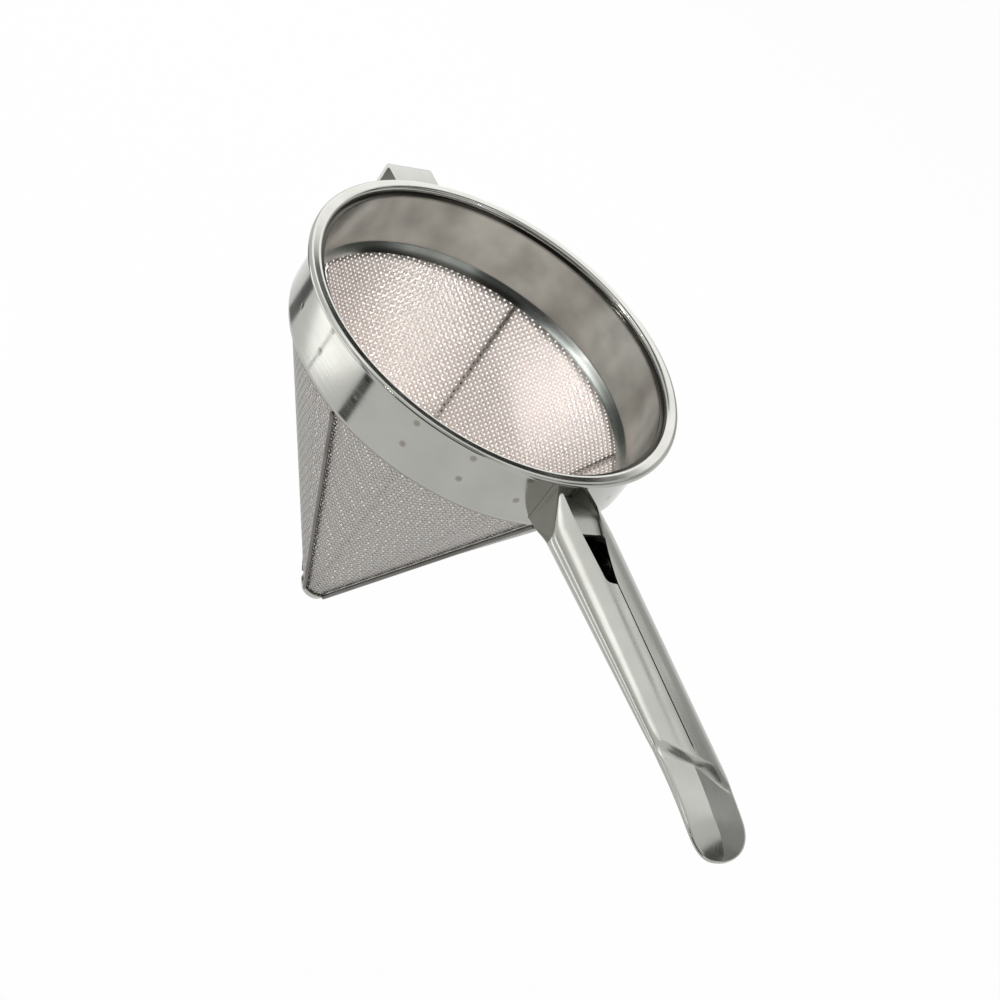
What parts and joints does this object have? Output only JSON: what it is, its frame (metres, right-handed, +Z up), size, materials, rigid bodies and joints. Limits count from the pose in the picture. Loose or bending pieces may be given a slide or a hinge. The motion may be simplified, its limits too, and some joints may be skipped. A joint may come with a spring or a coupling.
{
  "type": "conical strainer",
  "caption": "Conical kitchen strainer: steel collar with a turned lip, woven steel cone with guard rods and a tip cap, rolled sheet handle and a pot hook opposite it.",
  "frame": {"origin": "centre of the rim plane, level with the top of the lip", "axes": "+Z up out of the mouth along the cone's axis, +X along the handle, the pot hook on -X"},
  "size_m": [0.4049, 0.203, 0.204],
  "materials": {
    "sheet_steel": "polished stainless sheet",
    "wire_steel": "drawn stainless wire",
    "woven_steel": "plain woven stainless wire cloth"
  },
  "bodies": {
    "root": {"collar_band": "sheet_steel", "collar_liner": "sheet_steel", "mesh_cone": "woven_steel", "guard_rod_1": "wire_steel", "guard_rod_2": "wire_steel", "guard_rod_3": "wire_steel", "guard_rod_4": "wire_steel", "guard_rod_5": "wire_steel", "tip_cap": "sheet_steel", "handle": "sheet_steel", "pot_hook": "sheet_steel"}
  },
  "joints": []
}
